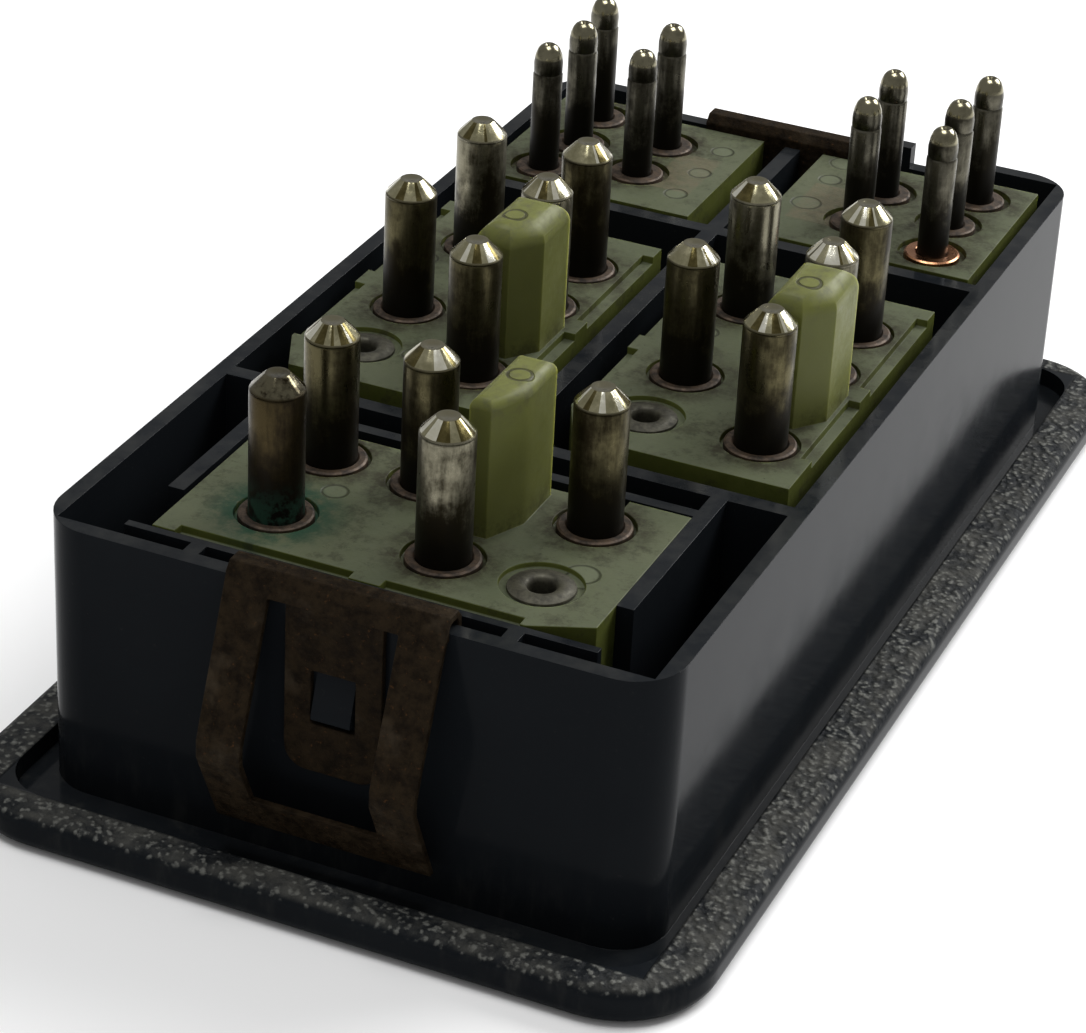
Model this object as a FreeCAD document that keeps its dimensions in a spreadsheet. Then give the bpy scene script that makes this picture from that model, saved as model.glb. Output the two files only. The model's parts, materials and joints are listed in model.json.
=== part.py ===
import FreeCAD, Part
import math
import os
import Sketcher

V = FreeCAD.Vector

# The panel lies face down: Z = 0 is the plane of its front rim and +Z goes to the terminals.
# X runs along its short side and Y along its long side. Millimetres and degrees.
DIMENSIONS = {
    # case walls and the flange round the front
    "case_width": 47.6, "case_length": 92.4, "case_rim": 23.0, "case_wall": 1.3, "case_corner": 4.0,
    "flange_width": 57.4, "flange_length": 105.4, "flange_top": 3.0, "flange_corner": 7.5,
    "lip_width": 3.6, "lip_length": 2.7, "channel_floor": 1.4,
    "front_border": 1.8, "front_recess": 1.5, "web_top": 3.2,
    # partitions and the well of the near switch
    "partition": 1.4, "near_partition_y": -19.6, "far_partition_y": 21.8,
    "inset_depth": 3.2, "inset_half": 14.0,
    "well_play": 0.2, "well_end_wall": 0.7, "well_side_wall": 1.3, "well_far_wall": 1.0, "rib_at": 12.0,
    # switch modules: centres, outlines and heights
    "near_x": 0.2, "near_y": -33.3, "mid_x": 11.7, "mid_y": -0.2, "far_x": 12.2, "far_y": 32.0,
    "plate_width": 19.0, "plate_length": 32.8, "square_length": 17.8, "plate_thick": 2.0,
    "skirt_foot": 17.0, "skirt_wall": 1.2, "body_wall": 1.0, "body_foot": 3.4, "body_floor": 1.2,
    "cut_across": 2.0, "cut_along": 4.4, "ledge_wide": 0.9, "ledge_deep": 0.6,
    "ear_from": 3.4, "ear_reach": 10.2,
    # terminals
    "pin_radius": 2.0, "thin_radius": 1.25, "pin_rise": 11.0, "tip_height": 1.1,
    "seat_depth": 0.5, "shoulder_gap": 0.1,
    "seat_radius": 3.0, "thin_seat": 2.8, "collar_radius": 2.75, "thin_collar": 2.3,
    "shank_radius": 1.2, "thin_shank": 0.8, "head_radius": 1.7, "thin_head": 0.95, "head_thick": 0.6,
    "key_rise": 10.8, "slab_shoulder": 0.9, "block_shoulder": 1.8, "foot_drop": 1.4,
    "eyelet_radius": 2.45, "eyelet_bore": 1.0, "eyelet_tube": 1.3, "eyelet_seat": 3.0, "eyelet_thick": 0.4,
    # rockers and their contact works
    "rocker_width": 14.8, "rocker_length": 26.8, "square_rocker": 14.6,
    "rocker_face": 2.4, "rocker_thick": 2.8,
    "rocker_side_gap": 0.35, "rocker_end_gap": 0.65, "face_hollow": 0.7,
    "pivot_height": 6.0, "pivot_radius": 0.9, "pivot_play": 0.05, "hub_radius": 2.4, "hub_half": 7.2,
    "stem_side": 3.6, "stem_top": 16.6, "spring_seat": 9.0, "spring_top": 14.0, "spring_wire": 0.3,
    "plunger_radius": 1.1, "plunger_tip": 18.0, "plunger_play": 0.05,
    "blade_gap": 0.15, "blade_thick": 0.6, "blade_width": 3.2, "blade_half": 8.0, "square_blade": 6.6,
    "blade_droop": 8.0, "strip_thick": 0.7, "contact_gap": 0.15, "contact_radius": 1.1, "knife_half": 0.3,
    # panel clips
    "clip_sheet": 0.6, "clip_half": 8.3, "leg_inner": 4.9, "tongue_half": 3.7, "clip_crown": 1.2,
    "hook_drop": 2.8, "tongue_drop": 13.6, "knee_out": 4.8, "knee_drop": 11.4, "clip_drop": 18.6,
    "clip_toe": 1.7, "crossbar": 3.0, "latch_top": 17.2, "latch_rise": 3.6,
    "latch_out": 0.9, "latch_half": 1.5,
    "tongue_round": 1.7, "foot_round": 2.4, "window_round": 0.9,
}


class Size:
    """A number together with the spreadsheet formula that gives it."""

    def __init__(self, number, formula):
        self.number = number
        self.formula = formula

    @staticmethod
    def of(other):
        return other if isinstance(other, Size) else Size(float(other), repr(float(other)))

    def joined(self, other, sign, number):
        return Size(number, "(%s %s %s)" % (self.formula, sign, other.formula))

    def __add__(self, other):
        other = Size.of(other)
        return self.joined(other, "+", self.number + other.number)

    def __sub__(self, other):
        other = Size.of(other)
        return self.joined(other, "-", self.number - other.number)

    def __mul__(self, other):
        other = Size.of(other)
        return self.joined(other, "*", self.number * other.number)

    def __truediv__(self, other):
        other = Size.of(other)
        return self.joined(other, "/", self.number / other.number)

    def __neg__(self):
        return self * -1

    def __radd__(self, other):
        return Size.of(other) + self

    def __rsub__(self, other):
        return Size.of(other) - self

    def __rmul__(self, other):
        return Size.of(other) * self


class Sheet:
    """The driving dimensions, each as a Size bound to its spreadsheet cell."""

    def __init__(self, document):
        cells = document.addObject("Spreadsheet::Sheet", "Dims")
        for row, (alias, number) in enumerate(DIMENSIONS.items(), start=1):
            cells.set("A%d" % row, alias)
            cells.set("B%d" % row, str(number))
            cells.setAlias("B%d" % row, alias)
            setattr(self, alias, Size(number, "Dims." + alias))
        document.recompute()


doc = FreeCAD.newDocument("RockerSwitchPanel")
S = Sheet(doc)
finished = []


# ---------------------------------------------------------------------------
# Small tools for building bound features
# ---------------------------------------------------------------------------
def bind(obj, prop, size):
    obj.setExpression(prop, Size.of(size).formula)


def move(obj, x=0, y=0, z=0):
    for axis, size in zip("xyz", (x, y, z)):
        bind(obj, "Placement.Base." + axis, size)
    return obj


def box(name, low, high):
    """A Part::Box between two opposite corners."""
    obj = doc.addObject("Part::Box", name)
    for prop, a, b in zip(("Length", "Width", "Height"), low, high):
        bind(obj, prop, Size.of(b) - a)
    return move(obj, *low)


def cylinder(name, radius, x, y, low, high):
    """An upright Part::Cylinder between two heights."""
    obj = doc.addObject("Part::Cylinder", name)
    bind(obj, "Radius", radius)
    bind(obj, "Height", Size.of(high) - low)
    return move(obj, x, y, low)


def axle(name, radius, half, height):
    """A Part::Cylinder along X, centred over the module's origin."""
    obj = doc.addObject("Part::Cylinder", name)
    bind(obj, "Radius", radius)
    bind(obj, "Height", Size.of(half) * 2)
    obj.Placement.Rotation = FreeCAD.Rotation(V(0, 1, 0), 90)
    return move(obj, -Size.of(half), 0, height)


def cut(name, base, tools):
    tool = tools[0] if len(tools) == 1 else fuse(name + "_tools", tools)
    obj = doc.addObject("Part::Cut", name)
    obj.Base, obj.Tool = base, tool
    return obj


def fuse(name, shapes):
    obj = doc.addObject("Part::MultiFuse", name)
    obj.Shapes = shapes
    return obj


def group(name, shapes):
    """Separate solids that are one node."""
    obj = doc.addObject("Part::Compound", name)
    obj.Links = shapes
    return obj


def finish(obj, label, x=0, y=0, turn=0):
    """Put a sub-part in its place and give it the name of its file."""
    obj.Label = label
    if turn:
        obj.Placement.Rotation = FreeCAD.Rotation(V(0, 0, 1), turn)
    move(obj, x, y, 0)
    finished.append(obj)
    return obj


def new_body(name):
    return doc.addObject("PartDesign::Body", name)


def new_sketch(body, role, offset=0):
    """A sketch on one of the body's own origin planes, moved along that plane's normal."""
    sketch = body.newObject("Sketcher::SketchObject", body.Name + "_sketch")
    plane = next(f for f in body.Origin.OriginFeatures if f.Role == role)
    sketch.AttachmentSupport = [(plane, "")]
    sketch.MapMode = "FlatFace"
    bind(sketch, "AttachmentOffset.Base.z", offset)
    return sketch


def fix_point(sketch, geometry, position, point):
    for kind, size in zip(("DistanceX", "DistanceY"), point):
        size = Size.of(size)
        index = sketch.addConstraint(Sketcher.Constraint(kind, -1, 1, geometry, position, size.number))
        bind(sketch, "Constraints[%d]" % index, size)


def outline(sketch, corners):
    """A closed outline of straight lines through corners that are bound to the sheet."""
    points = [V(Size.of(x).number, Size.of(y).number, 0) for x, y in corners]
    first = sketch.GeometryCount
    count = len(points)
    for i in range(count):
        sketch.addGeometry(Part.LineSegment(points[i], points[(i + 1) % count]), False)
    for i in range(count):
        sketch.addConstraint(Sketcher.Constraint("Coincident", first + i, 2, first + (i + 1) % count, 1))
    for i, corner in enumerate(corners):
        fix_point(sketch, first + i, 1, corner)


def rectangle(sketch, low, high):
    outline(sketch, [low, (high[0], low[1]), high, (low[0], high[1])])


def circle(sketch, x, y, radius):
    centre = V(Size.of(x).number, Size.of(y).number, 0)
    geometry = sketch.addGeometry(Part.Circle(centre, V(0, 0, 1), Size.of(radius).number), False)
    index = sketch.addConstraint(Sketcher.Constraint("Radius", geometry, Size.of(radius).number))
    bind(sketch, "Constraints[%d]" % index, radius)
    fix_point(sketch, geometry, 3, (x, y))


def pad(body, sketch, length, both_ways=False):
    feature = body.newObject("PartDesign::Pad", body.Name + "_pad")
    feature.Profile = sketch
    bind(feature, "Length", length)
    if both_ways:
        feature.SideType = "Symmetric"
    return settle(body, feature, grows=True)


def pocket(body, sketch, length):
    feature = body.newObject("PartDesign::Pocket", body.Name + "_pocket")
    feature.Profile = sketch
    bind(feature, "Length", length)
    return settle(body, feature, grows=False)


def settle(body, feature, grows):
    """Recompute, and turn the feature round if it missed the solid."""
    before = feature.BaseFeature.Shape.Volume if feature.BaseFeature else 0.0
    doc.recompute()
    changed = feature.Shape.Volume - before
    if (changed <= 1e-6) if grows else (changed >= -1e-6):
        feature.Reversed = True
        doc.recompute()
    body.Tip = feature
    return feature


def round_edges(body, feature, radius, wanted):
    """Fillet the edges of a feature that a test picks out."""
    names = ["Edge%d" % (i + 1) for i, edge in enumerate(feature.Shape.Edges) if wanted(edge)]
    fillet = body.newObject("PartDesign::Fillet", body.Name + "_fillet")
    fillet.Base = (feature, names)
    bind(fillet, "Radius", radius)
    doc.recompute()
    body.Tip = fillet
    return fillet


def upright(edge, half_x=None, half_y=None):
    """True for a vertical edge, on the given distances from the origin if they are named."""
    low, high = edge.Vertexes[0].Point, edge.Vertexes[-1].Point
    if abs(low.x - high.x) > 1e-4 or abs(low.y - high.y) > 1e-4 or abs(low.z - high.z) < 1e-3:
        return False
    on_x = half_x is None or abs(abs(low.x) - half_x.number) < 1e-3
    on_y = half_y is None or abs(abs(low.y) - half_y.number) < 1e-3
    return on_x and on_y


def through_sheet(edge, half_x, height):
    """True for an edge along Y at the given distance from the middle and the given height."""
    low, high = edge.Vertexes[0].Point, edge.Vertexes[-1].Point
    across = abs(low.x - high.x) < 1e-4 and abs(low.z - high.z) < 1e-4 and abs(low.y - high.y) > 0.1
    return across and abs(abs(low.x) - half_x.number) < 1e-3 and abs(low.z - height.number) < 1e-3


def level(edge, height):
    return all(abs(v.Z - Size.of(height).number) < 1e-4 for v in edge.Vertexes)


# ---------------------------------------------------------------------------
# Heights and lengths that several sub-parts share
# ---------------------------------------------------------------------------
inner_x = S.case_width / 2 - S.case_wall
inner_y = S.case_length / 2 - S.case_wall
outer_y = S.case_length / 2
far_wall = outer_y - S.inset_depth
plate_under = S.case_rim - S.plate_thick
strip_under = plate_under - S.strip_thick
blade_axis = S.plunger_tip + S.blade_gap + S.blade_thick
collar_foot = S.case_rim - S.seat_depth
pin_shoulder = S.case_rim + S.shoulder_gap
pin_top = S.case_rim + S.pin_rise

# Terminal places of a long module, across and along it, and the two contact columns.
COLUMNS = (5.15, -3.85)
LONG_PINS = ((-3.85, -3.3), (-3.85, 9.65), (5.15, -10.8), (5.15, 2.2), (5.15, 10.0))
EYELET = (-4.0, -10.8)
LONG_CONTACT = 6.6
# Terminal places of a square module, outwards from the panel's middle and along it.
SQUARE_PINS = ((5.2, -5.3), (5.2, 6.7), (4.6, 0.7), (-2.25, -2.6), (-2.25, 4.0))
SQUARE_COLUMN = 1.6
SQUARE_CONTACT = 5.3


# ---------------------------------------------------------------------------
# Bezel: flange, case walls, partitions, rocker openings, latch lugs
# ---------------------------------------------------------------------------
def make_bezel():
    body = new_body("bezel")
    half_x, half_y = S.flange_width / 2, S.flange_length / 2

    sketch = new_sketch(body, "XY_Plane")
    rectangle(sketch, (-half_x, -half_y), (half_x, half_y))
    feature = pad(body, sketch, S.flange_top)
    feature = round_edges(body, feature, S.flange_corner, upright)
    feature = round_edges(body, feature, 1.1, lambda edge: level(edge, 0) or level(edge, S.flange_top))

    channel_x, channel_y = half_x - S.lip_width, half_y - S.lip_length
    sketch = new_sketch(body, "XY_Plane", S.flange_top)
    rectangle(sketch, (-channel_x, -channel_y), (channel_x, channel_y))
    feature = pocket(body, sketch, S.flange_top - S.channel_floor)
    feature = round_edges(body, feature, S.flange_corner - S.lip_width,
                          lambda edge: upright(edge, channel_x, channel_y))

    sketch = new_sketch(body, "XY_Plane", S.channel_floor)
    rectangle(sketch, (-S.case_width / 2, -outer_y), (S.case_width / 2, outer_y))
    feature = pad(body, sketch, S.case_rim - S.channel_floor)
    feature = round_edges(body, feature, S.case_corner,
                          lambda edge: upright(edge, S.case_width / 2, outer_y))

    cut_bays(body)
    cut_rocker_openings(body)

    # The whole rocker field lies back from the front rim.
    field_x, field_y = S.case_width / 2 - S.front_border, outer_y - S.front_border
    sketch = new_sketch(body, "XY_Plane")
    rectangle(sketch, (-field_x, -field_y), (field_x, field_y))
    pocket(body, sketch, S.front_recess)

    # Outer face of the far wall, set back between the corners for its clip.
    sketch = new_sketch(body, "XY_Plane", S.case_rim)
    rectangle(sketch, (-S.inset_half, far_wall), (S.inset_half, outer_y + 1))
    pocket(body, sketch, S.case_rim - S.flange_top)

    # Stop block beside the far clip.
    sketch = new_sketch(body, "XY_Plane", S.case_rim)
    rectangle(sketch, (S.clip_half + 0.3, far_wall - S.case_wall), (S.clip_half + 2.0, far_wall))
    pad(body, sketch, 1.9)

    # Wedge lugs that hold the clips through their windows.
    for face, out in ((-outer_y, -1), (far_wall, 1)):
        sketch = new_sketch(body, "YZ_Plane")
        top, foot = S.latch_top, S.latch_top - S.latch_rise
        nose = face + out * S.latch_out
        outline(sketch, [(face - out * 0.2, top), (face, top), (nose, foot + 0.6), (nose, foot + 0.2),
                         (face, foot), (face - out * 0.2, foot)])
        pad(body, sketch, S.latch_half * 2, both_ways=True)
    return finish(body, "switch_bezel")


def cut_bays(body):
    """The hollows behind the rockers, with the partitions left standing between them."""
    near_edge = S.near_partition_y - S.partition / 2
    middle_low, middle_high = S.near_partition_y + S.partition / 2, S.far_partition_y - S.partition / 2
    far_low = S.far_partition_y + S.partition / 2
    spine = S.partition / 2
    well_x = S.plate_length / 2 + S.well_play
    well_low = S.near_y - S.plate_width / 2 - S.well_play
    well_high = S.near_y + S.plate_width / 2 + S.well_play
    slot_high = well_low - S.well_end_wall
    pocket_x = well_x + S.well_side_wall
    rib_in, rib_out = S.rib_at - 0.6, S.rib_at + 0.6

    sketch = new_sketch(body, "XY_Plane", S.case_rim)
    rectangle(sketch, (-well_x, well_low), (well_x, well_high))
    rectangle(sketch, (-rib_in, -inner_y), (rib_in, slot_high))
    rectangle(sketch, (-well_x, well_high + S.well_far_wall), (well_x, near_edge))
    for side in (-1, 1):
        outline(sketch, [(side * inner_x, -inner_y), (side * rib_out, -inner_y), (side * rib_out, slot_high),
                         (side * pocket_x, slot_high), (side * pocket_x, near_edge),
                         (side * inner_x, near_edge)])
        rectangle(sketch, (side * spine, middle_low), (side * inner_x, middle_high))
        corner_x = S.inset_half + S.case_wall
        outline(sketch, [(side * spine, far_low), (side * inner_x, far_low), (side * inner_x, inner_y),
                         (side * corner_x, inner_y), (side * corner_x, far_wall - S.case_wall),
                         (side * spine, far_wall - S.case_wall)])
    pocket(body, sketch, S.case_rim - S.web_top)

    # Notch in the spine that clears the far clip's hook.
    sketch = new_sketch(body, "XY_Plane", S.case_rim)
    rectangle(sketch, (-spine - 0.1, far_wall - S.case_wall - 1.0), (spine + 0.1, far_wall - S.case_wall))
    pocket(body, sketch, S.hook_drop + 0.4)

    # The near well's side walls stop short of its near corners.
    sketch = new_sketch(body, "XY_Plane", S.case_rim)
    for side in (-1, 1):
        rectangle(sketch, (side * (well_x - 0.1), well_low), (side * (pocket_x + 0.1), well_low + 5.5))
    pocket(body, sketch, S.case_rim - S.web_top)


def cut_rocker_openings(body):
    sketch = new_sketch(body, "XY_Plane", S.web_top)
    across = S.rocker_width / 2 + S.rocker_side_gap
    along = S.rocker_length / 2 + S.rocker_end_gap
    rectangle(sketch, (S.near_x - along, S.near_y - across), (S.near_x + along, S.near_y + across))
    square_across = S.square_rocker / 2 + S.rocker_side_gap
    square_along = S.square_rocker / 2 + S.rocker_end_gap
    for side in (-1, 1):
        rectangle(sketch, (side * S.mid_x - across, S.mid_y - along),
                  (side * S.mid_x + across, S.mid_y + along))
        rectangle(sketch, (side * S.far_x - square_across, S.far_y - square_along),
                  (side * S.far_x + square_across, S.far_y + square_along))
    pocket(body, sketch, S.web_top)


# ---------------------------------------------------------------------------
# Panel clips of spring sheet: a hook over the wall, a tongue flat on it and a flared frame
# ---------------------------------------------------------------------------
def make_clip(label, wall_face, out):
    """out is -1 for the near wall and 1 for the far wall."""
    body = new_body(label)
    rim, sheet = S.case_rim, S.clip_sheet
    inside = wall_face - out * S.case_wall
    skin = wall_face + out * sheet
    hook = inside - out * sheet
    crown = rim + S.clip_crown

    def hook_outline(foot):
        return [(skin, foot), (skin, crown - 0.7), (skin - out * 0.6, crown), (hook + out * 0.6, crown),
                (hook, crown - 0.7), (hook, rim - S.hook_drop), (inside, rim - S.hook_drop),
                (inside, crown - 0.9), (inside + out * 0.25, crown - sheet),
                (wall_face - out * 0.25, crown - sheet), (wall_face, crown - 0.9), (wall_face, foot)]

    knee_y, knee_z = wall_face + out * S.knee_out, rim - S.knee_drop
    toe_y, toe_z = wall_face + out * S.clip_toe, rim - S.clip_drop
    sketch = new_sketch(body, "YZ_Plane")
    outline(sketch, [(skin, crown - 0.9), (knee_y, knee_z + 0.7), (knee_y, knee_z - 0.7), (toe_y, toe_z),
                     (toe_y - out * sheet, toe_z), (knee_y - out * sheet, knee_z - 0.6),
                     (knee_y - out * sheet, knee_z + 0.6), (wall_face, crown - 1.0)])
    pad(body, sketch, S.clip_half * 2, both_ways=True)
    # Window between the two legs, above the crossbar.
    sketch = new_sketch(body, "XZ_Plane", -out * (outer_y + S.knee_out + 2))
    rectangle(sketch, (-S.leg_inner, toe_z + S.crossbar), (S.leg_inner, rim - 0.6))
    pocket(body, sketch, 12)
    sketch = new_sketch(body, "YZ_Plane")
    outline(sketch, hook_outline(rim - 0.6))
    pad(body, sketch, S.clip_half * 2, both_ways=True)
    sketch = new_sketch(body, "YZ_Plane")
    outline(sketch, hook_outline(rim - S.tongue_drop))
    pad(body, sketch, S.tongue_half * 2, both_ways=True)
    # Latch window in the tongue.
    sketch = new_sketch(body, "XZ_Plane", -out * (outer_y + 3))
    rectangle(sketch, (-S.latch_half - 0.2, S.latch_top - S.latch_rise - 0.3),
              (S.latch_half + 0.2, S.latch_top + 0.3))
    feature = pocket(body, sketch, 8)
    for radius, half_x, height in ((S.tongue_round, S.tongue_half, rim - S.tongue_drop),
                                   (S.foot_round, S.clip_half, toe_z),
                                   (S.window_round, S.leg_inner, toe_z + S.crossbar)):
        feature = round_edges(body, feature, radius,
                              lambda edge, x=half_x, z=height: through_sheet(edge, x, z))
    return finish(body, label)


# ---------------------------------------------------------------------------
# Sub-parts that the long and the square modules share
# ---------------------------------------------------------------------------
def make_pins(prefix, places, radius, shank, head, **place):
    pins = []
    for number, (x, y) in enumerate(places):
        name = "%s_pin%d" % (prefix, number)
        cone = doc.addObject("Part::Cone", name + "_tip")
        bind(cone, "Radius1", radius)
        bind(cone, "Radius2", Size.of(radius) / 2)
        bind(cone, "Height", S.tip_height)
        move(cone, x, y, pin_top - S.tip_height)
        pins.append(fuse(name, [
            cylinder(name + "_head", head, x, y, strip_under - S.head_thick, strip_under),
            cylinder(name + "_shank", shank, x, y, strip_under, pin_shoulder),
            cylinder(name + "_body", radius, x, y, pin_shoulder, pin_top - S.tip_height), cone]))
    return finish(group(prefix + "_pins", pins), prefix + "_terminal_pins", **place)


def make_collars(prefix, places, shank, outer, **place):
    rings = []
    for number, (x, y) in enumerate(places):
        name = "%s_collar%d" % (prefix, number)
        rings.append(cut(name, cylinder(name + "_disc", outer, x, y, collar_foot, S.case_rim),
                         [cylinder(name + "_hole", shank, x, y, collar_foot, S.case_rim)]))
    return finish(group(prefix + "_collars", rings), prefix + "_pin_collars", **place)


def make_strips(prefix, bars, contacts, knives, holes, shank, **place):
    """Contact strips under the plate; bars maps each strip to its flat boxes."""
    strips = []
    for number, boxes in enumerate(bars):
        name = "%s_strip%d" % (prefix, number)
        shapes = [box("%s_bar%d" % (name, i), (low[0], low[1], strip_under), (high[0], high[1], plate_under))
                  for i, (low, high) in enumerate(boxes)]
        for i, (x, y) in enumerate(contacts[number]):
            shapes.append(cylinder("%s_contact%d" % (name, i), S.contact_radius, x, y,
                                   blade_axis + S.contact_gap, strip_under))
        for i, (x, y) in enumerate(knives[number]):
            half = S.blade_width / 2
            shapes.append(box("%s_knife%d" % (name, i), (x - half, y - S.knife_half, blade_axis + 0.05),
                              (x + half, y + S.knife_half, strip_under)))
        solid = fuse(name + "_whole", shapes) if len(shapes) > 1 else shapes[0]
        drills = [cylinder("%s_hole%d" % (name, i), shank, x, y, strip_under, plate_under)
                  for i, (x, y) in enumerate(holes[number])]
        strips.append(cut(name, solid, drills))
    return finish(group(prefix + "_strips", strips), prefix + "_contact_strips", **place)


def make_body(prefix, low_y, high_y, half_rocker, half_across, **place):
    """The switch body: a shell with a floor opening for the rocker and bores for its pivot pin."""
    half = S.plate_width / 2
    wall, floor = S.body_wall, S.body_foot + S.body_floor
    shell = box(prefix + "_shell", (-half, low_y, S.body_foot), (half, high_y, S.skirt_foot))
    cavity = box(prefix + "_cavity", (-half + wall, low_y + wall, floor),
                 (half - wall, high_y - wall, S.skirt_foot))
    across, along = half_across + S.rocker_side_gap, half_rocker + S.rocker_end_gap + 0.15
    mouth = box(prefix + "_mouth", (-across, -along, S.body_foot), (across, along, floor))
    bore = axle(prefix + "_pivot_bore", S.pivot_radius, half, S.pivot_height)
    return finish(cut(prefix + "_body", shell, [cavity, mouth, bore]), prefix + "_switch_body", **place)


def make_rocker(prefix, half_length, half_across, columns, **place):
    """The button: a hollow-faced cap, a hub on the pivot pin and a stem for each plunger."""
    face, back = S.rocker_face, S.rocker_face + S.rocker_thick
    cap = box(prefix + "_cap_block", (-half_across, -half_length, face), (half_across, half_length, back))
    # The finger hollow is part of a wide cylinder that lies along the pivot.
    radius = (half_length * half_length + S.face_hollow * S.face_hollow) / (S.face_hollow * 2)
    hollow = axle(prefix + "_finger_hollow", radius, half_across + 1, face + S.face_hollow - radius)
    cap = cut(prefix + "_cap", cap, [hollow])
    hub = axle(prefix + "_hub", S.hub_radius, S.hub_half, S.pivot_height)
    side = S.stem_side / 2
    stems = [box("%s_stem%d" % (prefix, i), (x - side, -side, back - 0.5), (x + side, side, S.stem_top))
             for i, x in enumerate(columns)]
    bores = [cylinder("%s_stem_bore%d" % (prefix, i), S.plunger_radius + S.plunger_play, x, 0,
                      S.spring_seat, S.stem_top) for i, x in enumerate(columns)]
    bores.append(axle(prefix + "_hub_bore", S.pivot_radius + S.pivot_play, half_across + 1, S.pivot_height))
    whole = fuse(prefix + "_button", [cap, hub] + stems)
    return finish(cut(prefix + "_rocker_part", whole, bores), prefix + "_rocker", **place)


def make_works(prefix, columns, blade_half, **place):
    """Pivot pin, plungers, springs and seesaw contact blades."""
    pivot = axle(prefix + "_pivot", S.pivot_radius, S.plate_width / 2 - 0.1, S.pivot_height)
    finish(group(prefix + "_pivot_group", [pivot]), prefix + "_pivot_pin", **place)

    plungers, springs, blades = [], [], []
    for number, x in enumerate(columns):
        name = "%s_column%d" % (prefix, number)
        tip = S.plunger_tip - S.plunger_radius
        ball = doc.addObject("Part::Sphere", name + "_ball")
        bind(ball, "Radius", S.plunger_radius)
        move(ball, x, 0, tip)
        plungers.append(fuse(name + "_plunger", [
            cylinder(name + "_rod", S.plunger_radius, x, 0, S.spring_top, tip), ball]))
        springs.append(make_spring(name + "_spring", x))
        blades.append(make_blade(name + "_blade", x, blade_half))
    finish(group(prefix + "_plunger_group", plungers), prefix + "_plungers", **place)
    finish(group(prefix + "_spring_group", springs), prefix + "_plunger_springs", **place)
    finish(group(prefix + "_blade_group", blades), prefix + "_contact_blades", **place)


def make_spring(name, x):
    """A small compression spring between the stem's seat and the plunger."""
    coil = doc.addObject("Part::Helix", name + "_coil")
    room = S.spring_top - S.spring_seat - S.spring_wire * 1.2
    bind(coil, "Radius", S.plunger_radius - S.spring_wire)
    bind(coil, "Pitch", room / 6)
    bind(coil, "Height", room)
    wire = doc.addObject("Part::Circle", name + "_wire")
    bind(wire, "Radius", S.spring_wire / 2)
    wire.Placement.Rotation = FreeCAD.Rotation(V(1, 0, 0), 90)
    bind(wire, "Placement.Base.x", S.plunger_radius - S.spring_wire)
    doc.recompute()
    sweep = doc.addObject("Part::Sweep", name)
    sweep.Sections = [wire]
    sweep.Spine = (coil, ["Edge%d" % (i + 1) for i in range(len(coil.Shape.Edges))])
    sweep.Solid = True
    sweep.Frenet = True
    return move(sweep, x, 0, S.spring_seat + S.spring_wire * 0.6)


def make_blade(name, x, half):
    """A seesaw strip whose two arms droop away from its knife edge at rest."""
    body = new_body(name)
    drop = half * math.tan(math.radians(S.blade_droop.number))
    sketch = new_sketch(body, "YZ_Plane", x)
    low = blade_axis - S.blade_thick
    outline(sketch, [(0, blade_axis), (half, blade_axis - drop), (half, low - drop), (0, low),
                     (-half, low - drop), (-half, blade_axis - drop)])
    pad(body, sketch, S.blade_width, both_ways=True)
    return body


# ---------------------------------------------------------------------------
# Terminal plates
# ---------------------------------------------------------------------------
def plate_blank(body, corners, inside):
    """A plate with a skirt: the outline padded to the rim, and hollowed from below."""
    sketch = new_sketch(body, "XY_Plane", S.skirt_foot)
    outline(sketch, corners)
    pad(body, sketch, S.case_rim - S.skirt_foot)
    sketch = new_sketch(body, "XY_Plane", S.skirt_foot)
    outline(sketch, inside)
    pocket(body, sketch, plate_under - S.skirt_foot)


def seat_pins(body, places, shank, seat, extra_holes=(), extra_seats=()):
    """Through holes for the shanks and a shallow round seat for each collar."""
    sketch = new_sketch(body, "XY_Plane", S.case_rim)
    for x, y in places:
        circle(sketch, x, y, seat)
    pocket(body, sketch, S.seat_depth)
    for x, y, radius, depth in extra_seats:
        sketch = new_sketch(body, "XY_Plane", S.case_rim)
        circle(sketch, x, y, radius)
        pocket(body, sketch, depth)
    sketch = new_sketch(body, "XY_Plane", S.case_rim)
    for x, y in places:
        circle(sketch, x, y, shank)
    for x, y, radius in extra_holes:
        circle(sketch, x, y, radius)
    pocket(body, sketch, S.plate_thick)


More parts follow.
